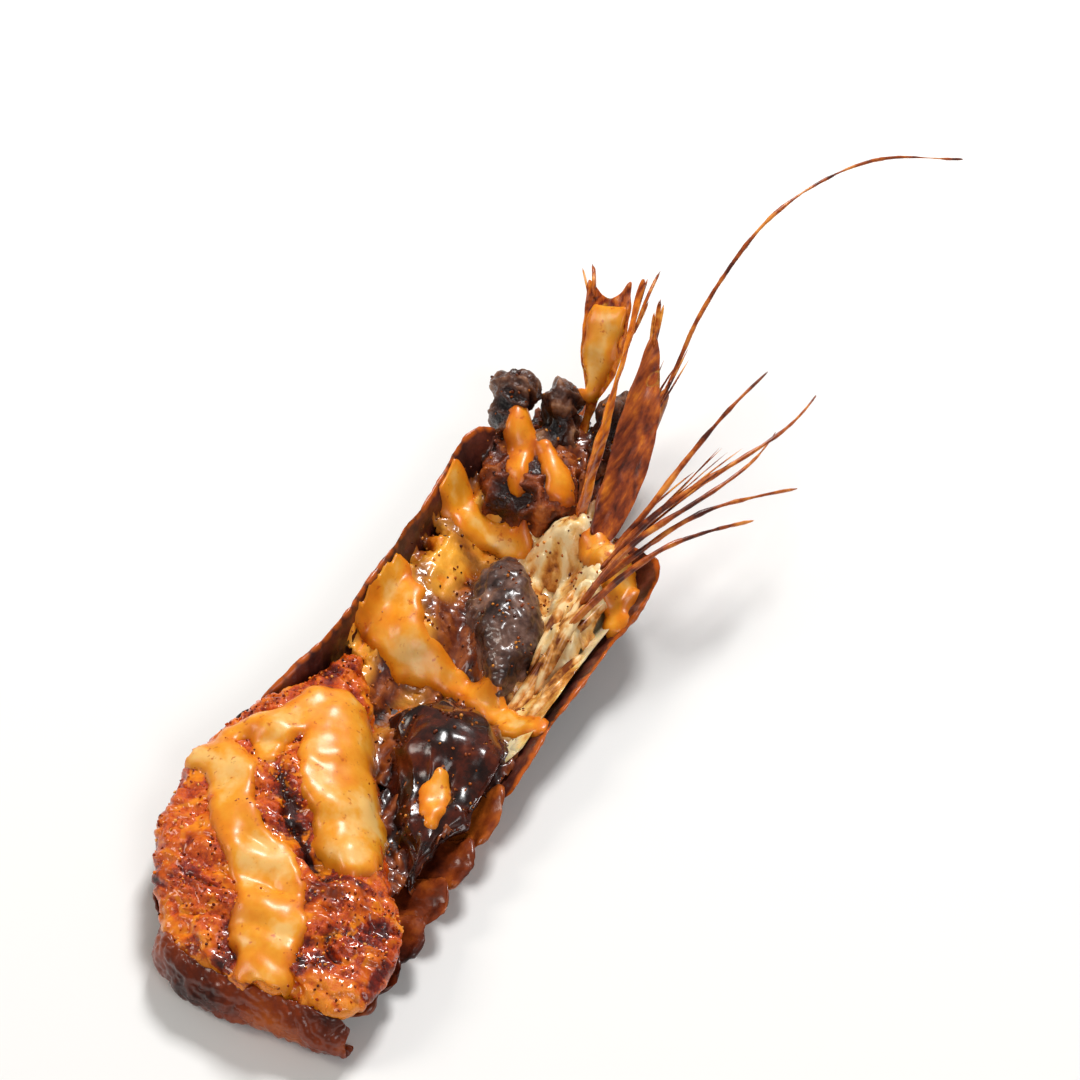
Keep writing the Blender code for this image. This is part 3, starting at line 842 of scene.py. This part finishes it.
def fill_head():
    roots = [root_of(node) for node in LIMBS]
    below = tree_of(*head_shell, inner_skin, flesh, *liver_pieces, *char_pieces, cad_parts["head_tissue"])
    walls = tree_of(*head_shell, inner_skin)
    bm = spread(FILLING_AREA, FILLING_STEP, within_filling, below, FILLING_BOTTOMS)
    inside = bm.verts.layers.float["inside"]
    relief, warm, pale = (bm.verts.layers.float.new(name) for name in ("relief", "warm", "pale"))
    stations, levels = np.array([vertex.co.xz for vertex in bm.verts]).T
    heights = np.minimum(levels, along(FILLING_TOPS, stations))
    for vertex, level in zip(bm.verts, settled(bm, heights, FILLING_ROUNDS)):
        station, left, _ = vertex.co
        spot = place(station, left)
        folds = folds_at(spot)
        vertex[relief] = folds / FOLDS_TOP
        vertex[warm] = warmth_at(spot, station, left)
        vertex[pale] = paleness_at(spot, station, left)
        lying = level - FILLING_SINK - RIM_SINK * soft_step(0.9, -0.5, vertex[inside])
        vertex.co = place(station, left, max(lying, socket_height(roots, station, left)) + folds)
        wall = landed(walls, station, left)[0]
        if wall:
            vertex.co.z = max(vertex.co.z, wall.z - SHELL_COVER * MM)
    return thickened(bm, FILLING_DEPTH)


head_filling = finished(fill_head(), "head_flesh", "head_tissue", head_flesh(), "head_tissue")

# %% [markdown]
# Browned crumbs of shell and paste lie all over the opened head. They are made like the spice grains, in browner
# colours, and fewer of them.

# %% Piece: head crumbs
crumb_look = spice_grains("browned_head_crumbs", (
    (0.0, "3A140A"), (0.4, "7E340F"), (0.75, "B25A18"), (1.0, "E0923A")))
crumbs = spice(tree_of(head_filling, *liver_pieces, *char_pieces),
               count=1500, stations=(30, 134), lefts=(-26, 18), seed=33)
finished(crumbs, "head_crumbs", "head_tissue", crumb_look)

# %% [markdown]
# Threads and hairs are too fine for a solid of their own. Each is a small grid rolled into a tube that closes to
# a point at both ends, along a path bent between three points, and all the threads of a kind are one mesh.

# %% Helper: threads
WELD = 0.004


def bent(start, middle, end, t):
    """A point on the curve from start to end that is drawn towards middle."""
    return start * (1 - t) ** 2 + middle * 2 * t * (1 - t) + end * t**2


def add_thread(bm, path, thickness, columns=9, sides=5, blunt=0.5):
    """Adds a tube along path(t), thickness mm in radius at its thickest, to a bmesh."""
    verts = bmesh.ops.create_grid(bm, x_segments=columns, y_segments=sides, size=0.5)["verts"]
    for vertex in verts:
        t, angle = vertex.co.x + 0.5, (vertex.co.y + 0.5) * math.tau
        ahead = (path(min(t + 0.02, 1)) - path(max(t - 0.02, 0))).normalized()
        across = ahead.cross(Vector((0, 0, 1))).normalized()
        up = across.cross(ahead)
        radius = thickness * MM * max(0.0, 4 * t * (1 - t)) ** blunt
        vertex.co = path(t) + (across * math.cos(angle) + up * math.sin(angle)) * radius
    bmesh.ops.remove_doubles(bm, verts=verts, dist=WELD * MM)


def closed_threads(bm):
    bmesh.ops.recalc_face_normals(bm, faces=bm.faces)
    return bm


# %% [markdown]
# Torn gills and membranes lie as brown and cream threads between the liver and the pale wall. Their colour
# changes every 4 mm along them. They follow the ground: each is laid over three points found by dropping them.


# %% Material: threads
def thread_look(name, dark, middle, light):
    look, tree, shader, where = new_look(name)
    tint = add(tree, "TexNoise", {"Vector": where, "Scale": per(4), "Detail": 3, "Roughness": 0.6})
    colour = add(tree, "ValToRGB", {"Fac": tint}, stops=((0.38, dark), (0.5, middle), (0.62, light)))
    wet(shader, colour, None, roughness=0.3, coat=0.2, coat_roughness=0.15)
    return look


# %% Piece: gill threads
GILL_THREADS = 14


def gill_threads():
    pick = random.Random(41)
    below = tree_of(*head_shell, inner_skin, head_filling, *liver_pieces)
    bm = bmesh.new()
    for _ in range(GILL_THREADS):
        station, left, reach = pick.uniform(66, 88), pick.uniform(-27, -20), pick.uniform(9, 16)
        drift, lift, thickness = pick.uniform(-2, 3), pick.uniform(-0.3, 0.2), pick.uniform(0.6, 1.2)
        left += 0.12 * (84 - station)
        ends = [landed(below, station + reach * t, left - drift * t - 1.5 * t)[0] for t in (0, 0.5, 1)]
        if None in ends:
            continue
        lifted = [point + Vector((0, 0, lift * MM)) for point in ends]
        middle = lifted[1] * 2 - (lifted[0] + lifted[2]) / 2
        add_thread(bm, lambda t: bent(lifted[0], middle, lifted[2], t), thickness)
    return closed_threads(bm)


finished(gill_threads(), "gill_threads", "head_tissue",
         thread_look("cooked_gill_threads", "7A3A14", "DC9648", "FAD9A0"))


# %% [markdown]
# ## Blades, legs and antenna
#
# The blades in front of the face are thin shell, ribbed along their length every 1.2 mm, with the light glowing
# a little way through. Stretching the noise along the body makes ribs of it. One blade is browner than the rest.

# %% Material: dried blade
RIB_STRETCH = 0.06


def dried_blade(name, stops):
    look, tree, shader, where = new_look(name)
    stretched = add(tree, "Mapping", {"Vector": where, "Scale": (RIB_STRETCH, 1, 1)})
    ribs = add(tree, "TexNoise", {"Vector": stretched, "Scale": per(1.2), "Detail": 4})
    cloud = add(tree, "TexNoise", {"Vector": where, "Scale": per(8), "Detail": 5, "Roughness": 0.6})
    level = add(tree, "Mix", {0: 0.45, 2: ribs, 3: cloud})
    colour = add(tree, "ValToRGB", {"Fac": level}, stops=stops)
    wet(shader, colour, (ribs, 0.7, 0.4), roughness=0.34, coat=0.2, coat_roughness=0.15, glow=0.2)
    return look


orange_look = dried_blade("dried_orange_blade", (
    (0.38, "6A2206"), (0.46, "AE4E08"), (0.54, "D9760E"), (0.64, "F09A26")))
brown_look = dried_blade("dried_brown_blade", (
    (0.36, "44180C"), (0.45, "7A3418"), (0.54, "A6501C"), (0.64, "D67A20")))

# %% [markdown]
# The blades' CAD leaves are already cupped and pointed, one of them notched. Subdivision rounds them, and the
# same stretched noise, as relief, gives the ribs a real outline.


# %% Pieces: blades
def rib_height(point, normal):
    along_body = Vector((point.x * RIB_STRETCH, point.y, point.z))
    return 0.4 * lumps(along_body, 2.0, 20) + 0.4 * lumps(point, 6, 21)


blades = []
for node, look in (("antennal_scale_left", orange_look), ("antennal_scale_right", brown_look),
                   ("head_spine", orange_look)):
    blade = raised(finer(copied(node), 3), rib_height, -0.4, 0.4)
    blades.append(finished(blade, f"{node}_blade", "blade", look, node))


# %% [markdown]
# Legs and antennae are thin tubes of shell. They dried in the heat, so they are matter than the rest, and they
# scorched in patches about 5 mm long.


# %% Material: dried limbs
def dried_limb(name, dark, middle, light):
    look, tree, shader, where = new_look(name)
    cloud = add(tree, "TexNoise", {"Vector": where, "Scale": per(5), "Detail": 5, "Roughness": 0.6})
    colour = add(tree, "ValToRGB", {"Fac": cloud}, stops=((0.38, dark), (0.5, middle), (0.64, light)))
    wet(shader, colour, (cloud, 0.3, 0.2), roughness=0.36, coat=0.2, coat_roughness=0.15)
    return look


limb_look = dried_limb("dried_leg_shell", "4E1C0C", "A34812", "DB8430")
base_look = dried_limb("antenna_base_shell", "6A2E0E", "AE641E", "D8983E")

# %% [markdown]
# Subdivision rounds a tube and draws its ends in. The legs' ends stand in their sockets, but the antenna would
# part from the tube that carries it, so its end ring is moved back into the tube first.

# %% Pieces: legs, antenna and the tube that carries it
ANTENNA_ROOT = (-3.6, 0.1, -1.2)
END_RING = 0.7


def limb_height(point, normal):
    return 0.2 * lumps(point, 4, 22) + 0.08 * lumps(point, 1.2, 23)


def rooted(bm, move):
    """The limb with its rear end drawn back by move mm, into whatever carries it."""
    rear = min(vertex.co.x for vertex in bm.verts) + END_RING * MM
    end = [vertex for vertex in bm.verts if vertex.co.x < rear]
    bmesh.ops.translate(bm, verts=end, vec=Vector(move) * MM)
    return bm


for node in (*LEGS, "antenna"):
    limb = rooted(copied(node), ANTENNA_ROOT) if node == "antenna" else copied(node)
    finished(raised(finer(limb, 2), limb_height, -0.2, 0.2), f"dried_{node}", "limb", limb_look, node)
tube = raised(finer(copied("antenna_base"), 2), limb_height, -0.2, 0.2)
finished(tube, "antenna_tube", "antenna_base", base_look, "antenna_base")

# %% [markdown]
# The blades' tips split into hairs, and bristles stand between the legs. Each tuft has one root, and its hairs
# fan out from it at random, curved a little upwards by the heat.

# %% Piece: hairs of the blades and the head
HAIR_TUFTS = (  # root, sweep, number of hairs, spread and radius
    ((146, -3.0, 29.0), (7, 4, 2.5), 3, 2.0, 0.4),
    ((141.5, -16.6, 26.9), (8.5, 1, 4), 4, 1.5, 0.36),
    ((140, -13.0, 30.6), (12, 1.4, 2.5), 3, 1.2, 0.3),
    ((123, -18.2, 12.0), (20, -4, 13), 12, 3.0, 0.24),
    ((104, -25.0, 13.5), (22, -12, 9), 10, 4.0, 0.2),
)
ROOT_SPREAD = 0.35  # of the tuft's spread


def head_hairs():
    pick = random.Random(43)
    bm = bmesh.new()
    for base, sweep, count, spread_out, thickness in HAIR_TUFTS:
        for _ in range(count):
            wander = Vector([pick.uniform(-1, 1) for _ in range(3)])
            start = Vector(base) + wander * spread_out * ROOT_SPREAD
            reach = Vector(sweep) * pick.uniform(0.5, 1.15)
            end = start + reach + Vector([pick.uniform(-1, 1) for _ in range(3)]) * spread_out
            middle = (start + end) / 2 + Vector((0, 0, pick.uniform(-0.5, 2.5)))
            points = [place(*point) for point in (start, middle, end)]
            add_thread(bm, lambda t: bent(*points, t), thickness * pick.uniform(0.6, 1.2), blunt=0.35)
    return closed_threads(bm)


finished(head_hairs(), "head_hairs", "limb", thread_look("dried_head_hairs", "5B2009", "B4550F", "E89A3A"))

# %% [markdown]
# ## Sauce
#
# A creamy chilli sauce: apricot, clouded with paler patches 9 mm wide that are partly milk and partly painted
# sheen, and deeper orange at its thin edges, where the prawn shows through. Chilli flecks it. It glows a little
# inside and is softer in its gloss than oil, so its highlights are broad.


# %% Material: creamy chilli sauce
def creamy_sauce():
    look, tree, shader, where = new_look("creamy_chilli_sauce")
    thick = add(tree, "Attribute", attribute_name="thick").outputs["Fac"]
    cloud = add(tree, "TexNoise", {"Vector": where, "Scale": per(9), "Detail": 4, "Roughness": 0.6})
    # Paler patches: partly milk in the sauce, partly painted sheen.
    milk_and_sheen = add(tree, "MapRange", {"Value": cloud, "From Min": 0.32, "From Max": 0.68})
    level = add(tree, "Mix", {0: 0.55, 2: thick, 3: milk_and_sheen})
    colour = add(tree, "ValToRGB", {"Fac": level},
                 stops=((0.1, "B8540A"), (0.3, "DE760C"), (0.52, "EE8A18"), (0.72, "F69E28"), (0.92, "FCBE6C")))
    spots = add(tree, "TexNoise", {"Vector": where, "Scale": per(1.6), "Detail": 2, "Roughness": 0.7})
    flecks = add(tree, "MapRange", {"Value": spots, "From Min": 0.62, "From Max": 0.72, "To Max": 0.75})
    colour = add(tree, "Mix", {0: flecks, A: colour, B: linear("C4520A")}, data_type="RGBA")
    grain = add(tree, "TexNoise", {"Vector": where, "Scale": per(1.4), "Detail": 3})
    wet(shader, colour, (grain, 0.25, 0.2), roughness=0.38, coat=0.25, coat_roughness=0.2, glow=0.3)
    return look


# %% [markdown]
# The sauce was drizzled from a spoon, so it is given as strokes: lines of (station, left, radius) points. The
# grid keeps what lies under a stroke. It clings to the ground at its edge, and bridges the small hollows in its
# middle. There it swells, steep at its edge and flat on top, as a thick sauce stands. The swelling follows the
# sheet's own normals, because upwards alone would leave it thin on every steep side.

# %% Piece: sauce
SAUCE_STROKES = (
    ((110, 9, 2.3), (107.5, 7, 3.0), (105.5, 4, 3.0), (105.8, 0.5, 2.4), (106.6, -3.5, 2.1), (107.6, -6.5, 1.5)),
    ((87, 9.5, 2.4), (83, 8.5, 4.6), (78, 6.5, 5.4), (74.5, 2, 4.2), (74, -4, 2.8), (74, -9, 2.2), (71, -16, 2.2),
     (67, -23, 2.6), (66, -27, 2.0)),
    ((37, 11, 2.2), (41, 12, 3.4), (46, 10, 4.0), (51, 7, 5.0), (54, 4, 4.0)),
    ((50, 4, 5.4), (42, 0, 6.4), (35, -5, 6.4), (28, -9, 5.8), (24, -12, 4.2)),
    ((34, 22, 2.4), (34, 18, 3.8), (31, 14, 4.2), (25, 12, 3.8), (20, 8, 4.0), (16, 2, 5.2), (9, -3, 6.4),
     (2, -6, 6.0), (-4, -6, 3.6), (-4, -10, 2.4)),
    ((38, 20, 1.6), (42, 17, 1.8), (47, 13, 1.6)),
    ((125.4, 2.2, 1.6), (123, 1.0, 2.3), (120, -0.5, 2.5), (116, -1.8, 2.2), (113, -2.5, 1.5)),
    ((122, -4, 1.4), (118, -8, 2.1), (115, -10, 2.0)),
    ((108, -20, 2.2), (104, -25, 3.4), (99, -29, 2.8), (92, -31, 2.0)),
    ((47.5, -17, 1.6), (44.5, -18, 2.5), (41, -19, 2.5), (38.5, -19.5, 1.5)),
    ((135, -7.4, 1.8), (139, -7.2, 3.4), (143, -6.8, 3.6), (145, -6.6, 2.6)),
)
SAUCE_STEP = 0.5
SAUCE_AREA = ((-8, -36), (146, 28))
SAUCE_DEPTH = 1.2
SAUCE_UNDERSIDE = 0.4
SAUCE_EDGE = 2.2
EDGE_SPILL, EDGE_SINK = 0.3, 0.5
CLING_ROUNDS, BRIDGE_ROUNDS = 3, 14
DEEPEST_DIP = 0.5
FAR_OUTSIDE = -9.0


def stroke_depth(stations, lefts):
    """How far each point lies inside the nearest stroke, in mm; negative outside."""
    depth = np.full(stations.shape, FAR_OUTSIDE)
    for stroke in SAUCE_STROKES:
        for (s0, l0, r0), (s1, l1, r1) in zip(stroke, stroke[1:]):
            run, rise = s1 - s0, l1 - l0
            share = np.clip(((stations - s0) * run + (lefts - l0) * rise) / (run**2 + rise**2), 0, 1)
            away = np.hypot(stations - s0 - share * run, lefts - l0 - share * rise)
            depth = np.maximum(depth, r0 + share * (r1 - r0) - away)
    return depth


def laid_sauce():
    """The sheet of sauce on the prawn. Each point keeps how thick it is, from 0 to 1."""
    below = tree_of(flesh, head_filling, inner_skin, *head_shell, *liver_pieces, *char_pieces, blades[0])
    bm = spread(SAUCE_AREA, SAUCE_STEP, stroke_depth, below)
    inside = bm.verts.layers.float["inside"]
    thick = bm.verts.layers.float.new("thick")
    landings = np.array([vertex.co.z for vertex in bm.verts])
    clinging, bridging = settled(bm, landings, CLING_ROUNDS), settled(bm, landings, BRIDGE_ROUNDS)
    for vertex, ground, bridge in zip(bm.verts, clinging, bridging):
        share = min(max((vertex[inside] + EDGE_SPILL) / SAUCE_EDGE, 0.0), 1.0)
        vertex[thick] = share
        level = ground + (max(bridge, ground - DEEPEST_DIP) - ground) * soft_step(0, 0.5, share)
        vertex.co = place(vertex.co.x, vertex.co.y, level - EDGE_SINK * soft_step(0.25, 0, share))
    return bm


def pour_sauce():
    bm = laid_sauce()
    thick = bm.verts.layers.float["thick"]
    bm.normal_update()
    normals = [vertex.normal.copy() for vertex in bm.verts]
    for vertex, normal in zip(bm.verts, normals):
        bulge = math.sqrt(1 - (1 - vertex[thick]) ** 2) * (0.8 + 0.4 * lumps(vertex.co, 6, 32))
        ripple = 0.3 * lumps(vertex.co, 2.8, 34) * vertex[thick]
        vertex.co += normal * (SAUCE_DEPTH * bulge + ripple) * MM
    for _ in range(2):
        bmesh.ops.smooth_vert(bm, verts=bm.verts, factor=0.5, use_axis_x=True, use_axis_y=True, use_axis_z=True)
    return thickened(bm, SAUCE_UNDERSIDE)


finished(pour_sauce(), "sauce_drizzle", "sauce", creamy_sauce())

# %% [markdown]
# ## Studio
#
# A pale floor, a soft key light from behind and above, a broad fill from the left, and a dim pale world. The
# key is small enough to leave small, sharp highlights, because a light as wide as the sky would lay a grey veil
# over everything dark and wet. The camera looks down at the prawn from its tail, a little to its right.

# %% Floor, lights and camera
CAMERA_AZIMUTH, CAMERA_ELEVATION = -66.0, 50.0
CAMERA_DISTANCE, CAMERA_LENS = 1.1, 205.0


def paper_floor():
    look, _, shader, _ = new_look("matte_white_paper")
    shader.inputs["Base Color"].default_value = linear("F0EFED")
    shader.inputs["Roughness"].default_value = 0.8
    bm = bmesh.new()
    bmesh.ops.create_grid(bm, x_segments=1, y_segments=1, size=3.0)
    mesh = bpy.data.meshes.new("floor")
    bm.to_mesh(mesh)
    bm.free()
    mesh.materials.append(look)
    floor = bpy.data.objects.new("floor", mesh)
    scene.collection.objects.link(floor)


def softbox(name, position, size, power, colour):
    light = bpy.data.lights.new(name, "AREA")
    light.shape = "RECTANGLE"
    light.size, light.size_y = size
    light.energy = power
    light.color = linear(colour)[:3]
    lamp = bpy.data.objects.new(name, light)
    lamp.location = position
    lamp.rotation_euler = (-Vector(position)).to_track_quat("-Z", "Y").to_euler()
    scene.collection.objects.link(lamp)


def camera_at(centre):
    turn, tilt = math.radians(CAMERA_AZIMUTH), math.radians(CAMERA_ELEVATION)
    back = Vector((math.sin(turn) * math.cos(tilt), -math.cos(turn) * math.cos(tilt), math.sin(tilt)))
    data = bpy.data.cameras.new("camera")
    data.lens = CAMERA_LENS
    camera = bpy.data.objects.new("camera", data)
    camera.location = centre + back * CAMERA_DISTANCE
    camera.rotation_euler = (-back).to_track_quat("-Z", "Y").to_euler()
    scene.collection.objects.link(camera)
    scene.camera = camera


paper_floor()
softbox("back_key", (0.62, 0.05, 0.85), (0.26, 0.26), 10, "FFFFFF")
softbox("left_fill", (-0.35, 0.85, 0.75), (0.35, 0.35), 3.8, "FFF8EE")
softbox("front_fill", (-0.75, -0.7, 0.9), (0.5, 0.5), 4.5, "FFFFFF")
world = bpy.data.worlds.new("pale_room")
world.use_nodes = True
world.node_tree.nodes["Background"].inputs["Color"].default_value = linear("FFFFFF")
world.node_tree.nodes["Background"].inputs["Strength"].default_value = 0.2
scene.world = world
camera_at(Vector((0.0, 0.0, 0.015)))
print("the camera looks from", [round(value, 2) for value in scene.camera.location], "m")
